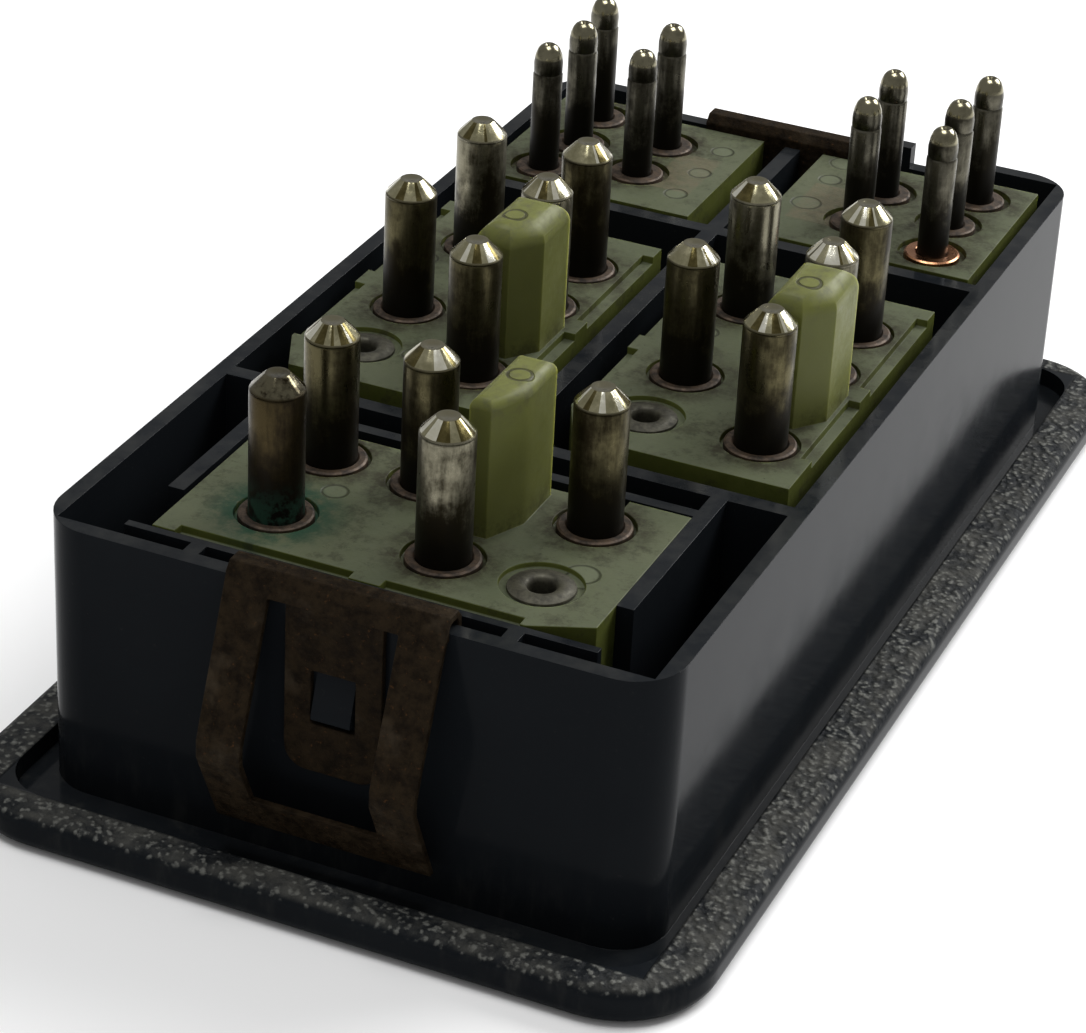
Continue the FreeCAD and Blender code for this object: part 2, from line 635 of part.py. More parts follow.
def make_long_plate(prefix, key, shoulder, foot, **place):
    body = new_body(prefix + "_plate")
    x, y, wall = S.plate_width / 2, S.plate_length / 2, S.skirt_wall
    cut_x, cut_y = S.cut_across, S.cut_along
    plate_blank(body,
                [(-x + cut_x, -y), (x, -y), (x, y), (-x, y), (-x, -y + cut_y)],
                [(-x + cut_x + wall * 0.7, -y + wall), (x - wall, -y + wall), (x - wall, y - wall),
                 (-x + wall, y - wall), (-x + wall, -y + cut_y + wall * 0.3)])
    seat_pins(body, LONG_PINS, S.shank_radius, S.seat_radius,
              extra_holes=[(*EYELET, S.eyelet_tube)],
              extra_seats=[(*EYELET, S.eyelet_seat, S.eyelet_thick)])
    # Stepped ledges along both long sides, parted by a tab in the middle.
    sketch = new_sketch(body, "XY_Plane", S.case_rim)
    for side in (-1, 1):
        for low, high in ((-11.6, -1.2), (1.2, 14.6)):
            rectangle(sketch, (side * (x - S.ledge_wide), low), (side * (x + 0.1), high))
    pocket(body, sketch, S.ledge_deep)
    # Key block that codes the plug, with one corner cut off and its top edges rounded over.
    sketch = new_sketch(body, "XY_Plane", S.case_rim)
    outline(sketch, key)
    feature = pad(body, sketch, S.key_rise)
    round_edges(body, feature, shoulder, lambda edge: level(edge, S.case_rim + S.key_rise))
    if foot:
        sketch = new_sketch(body, "XY_Plane", S.skirt_foot)
        rectangle(sketch, *foot)
        pad(body, sketch, S.case_rim - S.skirt_foot - S.foot_drop)
    return finish(body, prefix + "_terminal_plate", **place)


def make_square_plate(prefix, side, **place):
    body = new_body(prefix + "_plate")
    x, y, wall = S.plate_width / 2, S.square_length / 2, S.skirt_wall
    plate_blank(body,
                [(-side * x, -y), (side * x, -y), (side * x, S.ear_reach), (side * S.ear_from, S.ear_reach),
                 (side * S.ear_from, y), (-side * x, y)],
                [(-side * (x - wall), -y + wall), (side * (x - wall), -y + wall),
                 (side * (x - wall), y - wall), (-side * (x - wall), y - wall)])
    seat_pins(body, [(side * px, py) for px, py in SQUARE_PINS], S.thin_shank, S.thin_seat)
    return finish(body, prefix + "_terminal_plate", **place)


# ---------------------------------------------------------------------------
# Whole modules
# ---------------------------------------------------------------------------
def make_long_module(prefix, key, shoulder, foot=None, **place):
    """Five thick pins in two columns, each column with its own seesaw."""
    make_long_plate(prefix, key, shoulder, foot, **place)
    make_pins(prefix, LONG_PINS, S.pin_radius, S.shank_radius, S.head_radius, **place)
    make_collars(prefix, LONG_PINS, S.shank_radius, S.collar_radius, **place)
    inner, outer = COLUMNS[1], COLUMNS[0]
    pad_half, end = 1.75, 5.4
    bars = [[((inner - pad_half, -4.9), (inner + pad_half, 0.9))],
            [((inner - pad_half, end), (inner + pad_half, 11.5))],
            [((outer - pad_half, -12.6), (outer + pad_half, -end)),
             ((inner - pad_half, -8.2), (outer + pad_half, -end))],
            [((outer - pad_half, -0.9), (outer + pad_half, 4.0))],
            [((outer - pad_half, end), (outer + pad_half, 11.9))]]
    contacts = [[], [(inner, LONG_CONTACT)], [(outer, -LONG_CONTACT), (inner, -LONG_CONTACT)], [],
                [(outer, LONG_CONTACT)]]
    knives = [[(inner, 0)], [], [], [(outer, 0)], []]
    make_strips(prefix, bars, contacts, knives, [[pin] for pin in LONG_PINS], S.shank_radius, **place)
    tube = cylinder(prefix + "_tube", S.eyelet_tube, *EYELET, plate_under - 0.4, S.case_rim - S.eyelet_thick)
    ring = cylinder(prefix + "_ring", S.eyelet_radius, *EYELET, S.case_rim - S.eyelet_thick, S.case_rim)
    hole = cylinder(prefix + "_eyelet_hole", S.eyelet_bore, *EYELET, plate_under - 0.4, S.case_rim)
    rivet = cut(prefix + "_rivet", fuse(prefix + "_rivet_blank", [tube, ring]), [hole])
    finish(rivet, prefix + "_eyelet", **place)

    half = S.plate_length / 2
    make_body(prefix, -half, half, S.rocker_length / 2, S.rocker_width / 2, **place)
    make_rocker(prefix, S.rocker_length / 2, S.rocker_width / 2, COLUMNS, **place)
    make_works(prefix, COLUMNS, S.blade_half, **place)


def make_square_module(prefix, side, **place):
    """Five thin pins beside a label area, with one seesaw."""
    make_square_plate(prefix, side, **place)
    places = [(side * x, y) for x, y in SQUARE_PINS]
    make_pins(prefix, places, S.thin_radius, S.thin_shank, S.thin_head, **place)
    make_collars(prefix, places, S.thin_shank, S.thin_collar, **place)
    column = side * SQUARE_COLUMN
    reach = sorted((column - side * 1.7, side * 6.6))
    bars = [[((reach[0], -6.7), (reach[1], -3.9))],
            [((reach[0], 4.0), (reach[1], 7.65))],
            [((reach[0], -0.7), (reach[1], 2.1))]]
    for x, y in places[3:]:
        bars.append([((x - 1.2, y - 1.2), (x + 1.2, y + 1.2))])
    contacts = [[(column, -SQUARE_CONTACT)], [(column, SQUARE_CONTACT)], [], [], []]
    knives = [[], [], [(column, 0)], [], []]
    make_strips(prefix, bars, contacts, knives, [[pin] for pin in places], S.thin_shank, **place)

    half = S.square_length / 2
    make_body(prefix, -half, half, S.square_rocker / 2, S.square_rocker / 2, **place)
    make_rocker(prefix, S.square_rocker / 2, S.square_rocker / 2, (column,), **place)
    make_works(prefix, (column,), S.square_blade, **place)


make_bezel()
make_clip("near_panel_clip", -outer_y, -1)
make_clip("far_panel_clip", far_wall, 1)

SLAB_KEY = ((-0.3, -3.2), (-0.3, -4.9), (2.9, -6.3), (7.7, -6.3), (7.7, -3.2))
BLOCK_KEY = ((3.6, -7.7), (6.5, -7.7), (8.3, -5.3), (8.3, -0.5), (3.6, -0.5))
NEAR_FOOT = ((4.6, -17.5), (9.0, -16.3))
make_long_module("near", SLAB_KEY, S.slab_shoulder, x=S.near_x, y=S.near_y, turn=90)
for name, sign in (("mid_left", -1), ("mid_right", 1)):
    make_long_module(name, BLOCK_KEY, S.block_shoulder, NEAR_FOOT, x=sign * S.mid_x, y=S.mid_y)
for name, sign in (("far_left", -1), ("far_right", 1)):
    make_square_module(name, sign, x=sign * S.far_x, y=S.far_y)

doc.recompute()
os.makedirs("parts", exist_ok=True)
for part in finished:
    if part.State and "Invalid" in part.State or not part.Shape.isValid():
        raise RuntimeError("%s is not a valid solid" % part.Label)
    part.Shape.exportStep("parts/%s.step" % part.Label)
    print("%-26s %2d solids %9.1f mm3" % (part.Label, len(part.Shape.Solids), part.Shape.Volume))
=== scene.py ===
import json
import math
import random

import bmesh
import bpy
from mathutils import Matrix, Vector


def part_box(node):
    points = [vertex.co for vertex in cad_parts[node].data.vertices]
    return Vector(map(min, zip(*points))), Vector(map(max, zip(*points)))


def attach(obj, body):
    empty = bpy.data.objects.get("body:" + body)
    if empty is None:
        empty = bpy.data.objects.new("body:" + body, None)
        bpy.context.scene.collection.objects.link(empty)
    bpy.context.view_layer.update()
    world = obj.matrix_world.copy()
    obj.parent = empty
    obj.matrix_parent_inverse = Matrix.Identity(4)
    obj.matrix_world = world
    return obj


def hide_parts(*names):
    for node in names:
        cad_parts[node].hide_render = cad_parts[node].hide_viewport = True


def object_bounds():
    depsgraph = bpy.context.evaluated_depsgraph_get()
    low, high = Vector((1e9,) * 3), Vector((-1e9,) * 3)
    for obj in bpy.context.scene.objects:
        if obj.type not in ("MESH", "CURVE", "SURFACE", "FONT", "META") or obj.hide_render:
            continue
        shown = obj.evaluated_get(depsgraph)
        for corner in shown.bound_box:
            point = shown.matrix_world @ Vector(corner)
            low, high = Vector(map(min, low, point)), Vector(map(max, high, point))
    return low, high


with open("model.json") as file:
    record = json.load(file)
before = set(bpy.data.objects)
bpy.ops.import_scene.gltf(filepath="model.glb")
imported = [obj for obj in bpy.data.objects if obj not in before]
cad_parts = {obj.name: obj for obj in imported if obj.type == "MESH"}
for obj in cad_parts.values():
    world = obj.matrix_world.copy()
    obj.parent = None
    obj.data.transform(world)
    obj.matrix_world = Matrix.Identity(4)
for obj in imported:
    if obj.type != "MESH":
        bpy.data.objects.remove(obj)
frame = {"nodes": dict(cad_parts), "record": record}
cad_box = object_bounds()
nodes = frame["nodes"]
MM = 0.001
LONG = ("near", "mid_left", "mid_right")
SQUARE = ("far_left", "far_right")
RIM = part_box("switch_bezel")[0].z + 23.0 * MM
rng = random.Random(7)
# Round mould mark on top of each key block: X and Y in metres.
KEY_MARKS = ((0.0051, -0.0290), (-0.0061, -0.0052), (0.0176, -0.0052))


# ---------------------------------------------------------------------------
# Node helpers
# ---------------------------------------------------------------------------
class Shader:
    """One procedural material, built with short calls."""

    def __init__(self, name):
        self.material = bpy.data.materials.new(name)
        self.material.use_nodes = True
        self.tree = self.material.node_tree
        self.main = self.tree.nodes["Principled BSDF"]
        self.place = self.tree.nodes.new("ShaderNodeTexCoord").outputs["Object"]
        self.height = None

    def node(self, kind, **settings):
        made = self.tree.nodes.new(kind)
        for key, value in settings.items():
            setattr(made, key, value)
        return made

    def link(self, source, target):
        if hasattr(source, "type") and hasattr(source, "is_output"):
            self.tree.links.new(source, target)
        else:
            target.default_value = source

    def math(self, operation, a, b=0.0, c=0.0):
        made = self.node("ShaderNodeMath", operation=operation)
        for socket, value in zip(made.inputs, (a, b, c)):
            self.link(value, socket)
        return made.outputs[0]

    def stretch(self, x=1.0, y=1.0, z=1.0, source=None):
        made = self.node("ShaderNodeVectorMath", operation="MULTIPLY")
        self.link(source or self.place, made.inputs[0])
        made.inputs[1].default_value = (x, y, z)
        return made.outputs[0]

    def noise(self, size_mm, detail=3.0, rough=0.55, source=None, distort=0.0):
        """Noise whose blotches are about size_mm across."""
        made = self.node("ShaderNodeTexNoise")
        self.link(source or self.place, made.inputs["Vector"])
        made.inputs["Scale"].default_value = 1000.0 / size_mm
        made.inputs["Detail"].default_value = detail
        made.inputs["Roughness"].default_value = rough
        made.inputs["Distortion"].default_value = distort
        return made.outputs["Fac"]

    def cells(self, size_mm, feature="F1", source=None):
        made = self.node("ShaderNodeTexVoronoi", feature=feature)
        self.link(source or self.place, made.inputs["Vector"])
        made.inputs["Scale"].default_value = 1000.0 / size_mm
        return made.outputs["Distance"]

    def span(self, value, low, high, to_low=0.0, to_high=1.0, smooth=True):
        made = self.node("ShaderNodeMapRange")
        made.interpolation_type = "SMOOTHSTEP" if smooth else "LINEAR"
        for socket, number in zip(made.inputs, (value, low, high, to_low, to_high)):
            self.link(number, socket)
        return made.outputs[0]

    def axes(self, source=None):
        made = self.node("ShaderNodeSeparateXYZ")
        self.link(source or self.place, made.inputs[0])
        return made.outputs

    def facing_up(self, low=0.5, high=0.9):
        normal = self.axes(self.node("ShaderNodeNewGeometry").outputs["Normal"])
        return self.span(normal[2], low, high)

    def blend(self, factor, first, second):
        made = self.node("ShaderNodeMix", data_type="RGBA")
        self.link(factor, made.inputs[0])
        for socket, value in ((made.inputs[6], first), (made.inputs[7], second)):
            self.link(value, socket)
        return made.outputs[2]

    def mix(self, factor, first, second):
        made = self.node("ShaderNodeMix", data_type="FLOAT")
        for socket, value in zip((made.inputs[0], made.inputs[2], made.inputs[3]), (factor, first, second)):
            self.link(value, socket)
        return made.outputs[0]

    def bump(self, height, distance_mm, strength=1.0):
        made = self.node("ShaderNodeBump")
        made.inputs["Strength"].default_value = strength
        made.inputs["Distance"].default_value = distance_mm * MM
        self.link(height, made.inputs["Height"])
        if self.height is not None:
            self.link(self.height, made.inputs["Normal"])
        self.height = made.outputs["Normal"]

    def near_points(self, points, inner_mm, outer_mm):
        """1 within inner_mm of any of the upright axes through the points, 0 beyond outer_mm."""
        flat = self.stretch(1, 1, 0)
        best = None
        for x, y in points:
            gap = self.node("ShaderNodeVectorMath", operation="DISTANCE")
            self.link(flat, gap.inputs[0])
            gap.inputs[1].default_value = (x, y, 0)
            best = gap.outputs["Value"] if best is None else self.math("MINIMUM", best, gap.outputs["Value"])
        return self.span(best, inner_mm * MM, outer_mm * MM, 1.0, 0.0)

    def done(self, colour=None, rough=None, metal=0.0, **sockets):
        if colour is not None:
            self.link(colour, self.main.inputs["Base Color"])
        if rough is not None:
            self.link(rough, self.main.inputs["Roughness"])
        self.link(metal, self.main.inputs["Metallic"])
        for name, value in sockets.items():
            self.link(value, self.main.inputs[name.replace("_", " ")])
        if self.height is not None:
            self.link(self.height, self.main.inputs["Normal"])
        return self.material


def rgb(r, g, b):
    return (r, g, b, 1.0)


# ---------------------------------------------------------------------------
# Materials
# ---------------------------------------------------------------------------
def make_case_plastic():
    """Black moulded plastic: satin walls, a pebbled lip with painted highlights on its pebble tops, and dust
    where it settles.
    """
    s = Shader("case_plastic")
    x, y, z = s.axes()
    lip_x = s.span(s.math("ABSOLUTE", x), 25.0 * MM, 25.3 * MM)
    lip_y = s.span(s.math("ABSOLUTE", y), 49.9 * MM, 50.2 * MM)
    up = s.facing_up()
    outer = s.math("MAXIMUM", lip_x, lip_y)
    lip = s.math("MULTIPLY", outer, s.span(z, 2.0 * MM, 2.6 * MM))
    lip = s.math("MULTIPLY", lip, s.facing_up(0.35, 0.75))
    low = s.span(z, 1.0 * MM, 9.0 * MM, 1.0, 0.0)

    pebble = s.cells(0.50, "SMOOTH_F1")
    fine = s.noise(0.36, 4.0, 0.65)
    lumps = s.math("SUBTRACT", 1.0, s.math("MULTIPLY", pebble, 1.3))
    s.bump(s.math("MULTIPLY", s.math("ADD", lumps, s.math("MULTIPLY", fine, 0.6)), lip), 0.22)
    s.bump(s.noise(0.30, 2.0), 0.004, 0.5)

    blotch = s.noise(3.5, 5.0, 0.7)
    specks = s.span(s.noise(0.55, 5.0, 0.8), 0.60, 0.70)
    dust = s.math("MULTIPLY", up, s.span(blotch, 0.35, 0.70))
    dust = s.math("MULTIPLY", dust, s.mix(lip, s.span(z, 3.0 * MM, 20.0 * MM, 0.04, 0.12), 0.55))
    streak = s.noise(2.2, 4.0, 0.7, s.stretch(1, 1, 0.25))
    wall_dust = s.math("MULTIPLY", s.math("MULTIPLY", low, s.span(streak, 0.48, 0.75)), 0.12)
    dust = s.math("MAXIMUM", dust, wall_dust)
    dust = s.math("MAXIMUM", dust, s.math("MULTIPLY", specks, 0.10))
    grain = s.math("ADD", s.math("MULTIPLY", lumps, 0.6), s.math("MULTIPLY", fine, 0.6))
    # Painted highlight: the tops of the pebbles on the lip are lightened in colour.
    pebble_highlight = s.math("MULTIPLY", lip, s.span(grain, 0.58, 0.80))

    base = s.blend(s.noise(14.0), rgb(0.0057, 0.0068, 0.0084), rgb(0.0104, 0.0122, 0.0141))
    base = s.blend(pebble_highlight, base, rgb(0.120, 0.122, 0.112))
    colour = s.blend(dust, base, rgb(0.091, 0.089, 0.078))
    rough = s.mix(lip, s.span(blotch, 0.2, 0.8, 0.09, 0.17), 0.52)
    rough = s.mix(dust, rough, 0.85)
    return s.done(colour, rough, Specular_IOR_Level=s.math("MULTIPLY_ADD", up, 0.060, 0.022))


def make_rust():
    """Brown rusted spring sheet with a pitted skin."""
    s = Shader("rusted_sheet")
    broad = s.noise(4.5, 4.0, 0.65)
    middle = s.noise(1.1, 5.0, 0.7)
    pits = s.noise(0.35, 3.0, 0.7)
    colour = s.blend(s.span(middle, 0.32, 0.68), rgb(0.0060, 0.0039, 0.0021), rgb(0.021, 0.0143, 0.0078))
    colour = s.blend(s.math("MULTIPLY", s.span(broad, 0.52, 0.72), 0.65), colour, rgb(0.044, 0.033, 0.021))
    colour = s.blend(s.math("MULTIPLY", s.span(pits, 0.62, 0.75), 0.6), colour, rgb(0.083, 0.037, 0.0138))
    s.bump(middle, 0.14, 0.9)
    s.bump(pits, 0.09, 1.0)
    rough = s.span(middle, 0.3, 0.7, 0.55, 0.85)
    return s.done(colour, rough, 0.05, Specular_IOR_Level=0.04)


def make_nylon(name, pins, seat_mm, label=None, marks=(), stain=None):
    """Aged natural nylon with a brown ring round every pin, grime along the edges and ejector marks."""
    s = Shader(name)
    x, y, _ = s.axes()
    up = s.facing_up()
    broad = s.noise(7.0, 3.0)
    grime = s.noise(1.3, 6.0, 0.75)
    fine = s.noise(0.25, 3.0, 0.7)
    base = s.blend(broad, rgb(0.059, 0.070, 0.040), rgb(0.090, 0.097, 0.059))
    side = s.blend(grime, rgb(0.043, 0.054, 0.0108), rgb(0.101, 0.112, 0.025))
    base = s.blend(up, side, base)
    halo = s.near_points(pins, seat_mm * 0.80, seat_mm * 1.90)
    halo = s.math("MULTIPLY", halo, s.span(grime, 0.36, 0.62, 0.20, 1.0))
    colour = s.blend(s.math("MULTIPLY", halo, 0.92), base, rgb(0.0162, 0.0112, 0.0054))
    dirt = s.span(s.noise(2.6, 6.0, 0.8), 0.50, 0.66)
    colour = s.blend(s.math("MULTIPLY", dirt, 0.60), colour, rgb(0.027, 0.026, 0.0153))
    specks = s.span(s.noise(0.6, 4.0, 0.8), 0.65, 0.71)
    colour = s.blend(s.math("MULTIPLY", specks, 0.8), colour, rgb(0.0072, 0.0065, 0.0050))
    if stain:
        spread = s.math("MULTIPLY", s.near_points([stain], 2.4, 6.0), s.span(grime, 0.34, 0.58))
        colour = s.blend(s.math("MULTIPLY", spread, 0.75), colour, rgb(0.0144, 0.061, 0.036))
    if label:
        (x0, y0), (x1, y1) = label
        within = 1.0
        for value, a, b in ((x, x0, x1), (y, y0, y1)):
            within = s.math("MULTIPLY", within, s.span(value, (a - 0.15) * MM, (a + 0.15) * MM))
            within = s.math("MULTIPLY", within, s.span(value, (b - 0.15) * MM, (b + 0.15) * MM, 1.0, 0.0))
        within = s.math("MULTIPLY", within, up)
        rub = s.span(s.noise(0.8, 6.0, 0.8), 0.35, 0.65, 0.25, 0.9)
        colour = s.blend(s.math("MULTIPLY", within, rub), colour, rgb(0.099, 0.086, 0.054))
        s.bump(s.math("MULTIPLY", within, fine), 0.03, 0.8)
    for mx, my, radius in marks:
        ring = s.near_points([(mx * MM, my * MM)], radius - 0.10, radius + 0.10)
        inside = s.near_points([(mx * MM, my * MM)], radius - 0.28, radius - 0.08)
        edge = s.math("MULTIPLY", s.math("SUBTRACT", ring, inside), up)
        colour = s.blend(s.math("MULTIPLY", edge, 0.70), colour, rgb(0.0162, 0.0162, 0.0090))
        disc = s.math("MULTIPLY", s.math("MULTIPLY", inside, up), 0.30)
        colour = s.blend(disc, colour, rgb(0.125, 0.140, 0.092))
        s.bump(s.math("MULTIPLY", s.math("MULTIPLY", ring, up), -1.0), 0.10, 0.8)
    s.bump(fine, 0.012, 0.7)
    s.bump(broad, 0.10, 0.4)
    rough = s.span(grime, 0.25, 0.75, 0.36, 0.60)
    return s.done(colour, rough, Subsurface_Weight=0.2, Subsurface_Radius=(0.9, 1.0, 0.5),
                  Subsurface_Scale=0.0008, Specular_IOR_Level=0.10)


def make_key_nylon():
    """Translucent yellow-green nylon, grimy at its foot and on its shoulders."""
    s = Shader("key_nylon")
    z = s.axes()[2]
    grime = s.noise(1.4, 6.0, 0.75)
    base = s.blend(s.noise(5.0, 2.0), rgb(0.098, 0.106, 0.026), rgb(0.138, 0.146, 0.046))
    foot = s.math("MULTIPLY", s.span(z, RIM, RIM + 2.2 * MM, 1.0, 0.0), s.span(grime, 0.40, 0.65))
    top = s.math("MULTIPLY", s.span(z, RIM + 7.5 * MM, RIM + 10.6 * MM), s.span(grime, 0.45, 0.70))
    colour = s.blend(s.math("MULTIPLY", foot, 0.65), base, rgb(0.027, 0.025, 0.0100))
    colour = s.blend(s.math("MULTIPLY", top, 0.70), colour, rgb(0.070, 0.070, 0.040))
    outer = s.near_points(KEY_MARKS, 0.95, 1.05)
    inner = s.near_points(KEY_MARKS, 0.70, 0.80)
    ring = s.math("MULTIPLY", s.math("SUBTRACT", outer, inner), s.span(z, RIM + 10.5 * MM, RIM + 10.7 * MM))
    colour = s.blend(s.math("MULTIPLY", ring, 0.75), colour, rgb(0.022, 0.020, 0.0100))
    s.bump(s.math("MULTIPLY", ring, -1.0), 0.12)
    s.bump(s.noise(0.35, 3.0, 0.7), 0.015, 0.7)
    s.bump(s.noise(3.0, 2.0), 0.08, 0.4)
    return s.done(colour, s.span(grime, 0.3, 0.7, 0.32, 0.52), Subsurface_Weight=0.55,
                  Subsurface_Radius=(1.0, 1.0, 0.45), Subsurface_Scale=0.0016, Specular_IOR_Level=0.14)


def make_pin_metal(name, bright, tarnish, foot_dark, patina=0.0, green=False):
    """Plated pin: polished cone, streaked tarnish down the shaft with painted highlight streaks between, and
    a dark foot.
    """
    s = Shader(name)
    z = s.axes()[2]
    tip = s.span(z, 32.75 * MM, 33.0 * MM)
    foot = s.span(z, 23.5 * MM, 23.5 * MM + foot_dark * MM, 1.0, 0.0)
    # Upright streaks, partly tarnish and partly painted highlight: where they thin, the shaft takes the
    # bright plating colour in place of reflections.
    streak = s.noise(0.9, 5.0, 0.7, s.stretch(1, 1, 0.18))
    blotch = s.noise(1.5, 5.0, 0.75)
    scale = s.noise(6.0, 2.0)
    # Tarnish amount, partly painted light: its low streaks give painted highlight streaks, and it grows
    # towards the foot.
    tarnish_and_painted_highlight = s.math("ADD", s.math("MULTIPLY", streak, 0.60), s.math("MULTIPLY", blotch, 0.50))
    tarnish_and_painted_highlight = s.math("ADD", tarnish_and_painted_highlight, s.math("MULTIPLY", foot, 0.34))
    tarnish_and_painted_highlight = s.math("ADD", tarnish_and_painted_highlight, s.math("MULTIPLY", s.math("SUBTRACT", scale, 0.5), 0.70))
    tarnish_and_painted_highlight = s.span(tarnish_and_painted_highlight, 0.40, 0.76)
    colour = s.blend(tarnish_and_painted_highlight, bright, tarnish)
    cone = s.blend(s.math("MULTIPLY", s.span(blotch, 0.45, 0.65), patina), rgb(0.26, 0.24, 0.16), tarnish)
    colour = s.blend(s.math("MULTIPLY", tip, 1.0 - 0.5 * patina), colour, cone)
    deep = s.math("MULTIPLY", foot, s.span(s.math("ADD", blotch, s.math("MULTIPLY", foot, 0.5)), 0.52, 0.95))
    colour = s.blend(s.math("MULTIPLY", deep, 0.93), colour, rgb(0.0030, 0.0022, 0.0012))
    metal = s.mix(tip, s.mix(deep, s.span(tarnish_and_painted_highlight, 0.0, 1.0, 1.0, 0.75), 0.15), 1.0)
    rough = s.mix(tarnish_and_painted_highlight, s.span(tip, 0.0, 1.0, 0.26, 0.16), s.span(tip, 0.0, 1.0, 0.42, 0.20))
    if green:
        green = s.math("MULTIPLY", s.span(z, 23.6 * MM, 26.6 * MM, 1.0, 0.0), s.span(blotch, 0.42, 0.56))
        colour = s.blend(green, colour, rgb(0.014, 0.042, 0.026))
        rough = s.mix(green, rough, 0.9)
        metal = s.mix(green, metal, 0.0)
    s.bump(streak, 0.03, 0.7)
    s.bump(s.noise(0.22, 3.0, 0.7), 0.010, 0.7)
    return s.done(colour, rough, metal, Specular_IOR_Level=0.15)


def make_metal(name, first, second, size_mm, rough_low, rough_high, metal=1.0):
    """Plain metal with uneven colour and finish."""
    s = Shader(name)
    blotch = s.noise(size_mm, 5.0, 0.7)
    s.bump(s.noise(size_mm * 0.2, 3.0, 0.7), 0.01, 0.8)
    return s.done(s.blend(s.span(blotch, 0.3, 0.7), first, second),
                  s.span(blotch, 0.3, 0.7, rough_low, rough_high), metal)


def make_button_plastic():
    """Black rocker with a fine spark-eroded grain on its face."""
    s = Shader("button_plastic")
    grain = s.noise(0.28, 4.0, 0.7)
    s.bump(grain, 0.035, 0.9)
    shade = s.noise(6.0, 3.0)
    return s.done(s.blend(shade, rgb(0.010, 0.010, 0.011), rgb(0.018, 0.018, 0.019)),
                  s.span(grain, 0.3, 0.7, 0.34, 0.50))


def make_white_plastic():
    s = Shader("plunger_plastic")
    shade = s.noise(1.2, 4.0, 0.7)
    s.bump(s.noise(0.2), 0.008, 0.6)
    return s.done(s.blend(shade, rgb(0.62, 0.60, 0.52), rgb(0.76, 0.74, 0.68)),
                  s.span(shade, 0.3, 0.7, 0.28, 0.42))


def make_floor():
    s = Shader("paper_floor")
    shade = s.noise(60.0, 3.0)
    s.bump(s.noise(0.8, 2.0), 0.01, 0.3)
    return s.done(s.blend(shade, rgb(0.90, 0.90, 0.90), rgb(0.93, 0.93, 0.93)), 0.62)


# ---------------------------------------------------------------------------
# Mesh helpers
# ---------------------------------------------------------------------------
def new_piece(name, mesh, body, materials, stands_for=()):
    piece = bpy.data.objects.new(name, mesh)
    bpy.context.scene.collection.objects.link(piece)
    for material in materials:
        mesh.materials.append(material)
    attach(piece, body)
    if stands_for:
        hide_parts(*stands_for)
    return piece


def softened(node, name, body, material, width_mm, segments=2):
    """A copy of a CAD node's shape with every hard edge rounded over."""
    bm = bmesh.new()
    bm.from_mesh(nodes[node].data)
    bmesh.ops.remove_doubles(bm, verts=bm.verts, dist=2e-6)
    bmesh.ops.dissolve_limit(bm, angle_limit=math.radians(0.6), verts=bm.verts, edges=bm.edges)
    for face in bm.faces:
        face.smooth = True
        face.material_index = 0
    mesh = bpy.data.meshes.new(name)
    bm.to_mesh(mesh)
    bm.free()
    mesh.materials.clear()
    piece = new_piece(name, mesh, body, [material], (node,))
    bevel = piece.modifiers.new("edges", "BEVEL")
    bevel.width = width_mm * MM
    bevel.segments = segments
    bevel.limit_method = "ANGLE"
    bevel.angle_limit = math.radians(34)
    bevel.use_clamp_overlap = True
    weights = piece.modifiers.new("flat_faces", "WEIGHTED_NORMAL")
    weights.mode = "FACE_AREA"
    weights.weight = 100
    weights.keep_sharp = False
    return piece


def lathe(bm, profile, centre, steps, flutes=None, index=0, glint_band=None):
    """Turn (radius, height) points in millimetres round an upright axis. flutes maps a ring to a ripple;
    the last argument is (first ring, last ring, slots) for a band whose narrow flats get random dark, middle
    and bright colours, painted glints and painted dark reflections."""
    rings = []
    for place, (radius, height) in enumerate(profile):
        if radius < 1e-6:
            rings.append([bm.verts.new((centre[0], centre[1], height * MM))])
            continue
        ring = []
        for k in range(steps):
            angle = 2 * math.pi * k / steps
            size = radius
            if flutes and place in flutes:
                count, depth = flutes[place]
                size -= depth * abs(math.sin(angle * count / 2 + centre[0] * 900))
            ring.append(bm.verts.new((centre[0] + size * MM * math.cos(angle),
                                      centre[1] + size * MM * math.sin(angle), height * MM)))
        rings.append(ring)
    flats = []
    while glint_band and len(flats) < steps:
        flats += [rng.choice(glint_band[2])] * rng.choice((1, 2, 2, 3))
    for place, (lower, upper) in enumerate(zip(rings, rings[1:])):
        for k in range(steps):
            a, b = lower[k % len(lower)], lower[(k + 1) % len(lower)]
            c, d = upper[(k + 1) % len(upper)], upper[k % len(upper)]
            corners = list(dict.fromkeys((a, b, c, d)))
            if len(corners) > 2:
                face = bm.faces.new(corners)
                face.smooth = True
                face.material_index = flats[k] if glint_band and glint_band[0] <= place < glint_band[1] else index


def finish_mesh(bm, name, sharp_deg=32):
    """Turn a bmesh into a mesh that is smooth except along its sharp edges."""
    bmesh.ops.recalc_face_normals(bm, faces=bm.faces)
    for edge in bm.edges:
        if len(edge.link_faces) == 2 and edge.calc_face_angle(0) > math.radians(sharp_deg):
            edge.smooth = False
    mesh = bpy.data.meshes.new(name)
    bm.to_mesh(mesh)
    bm.free()
    return mesh


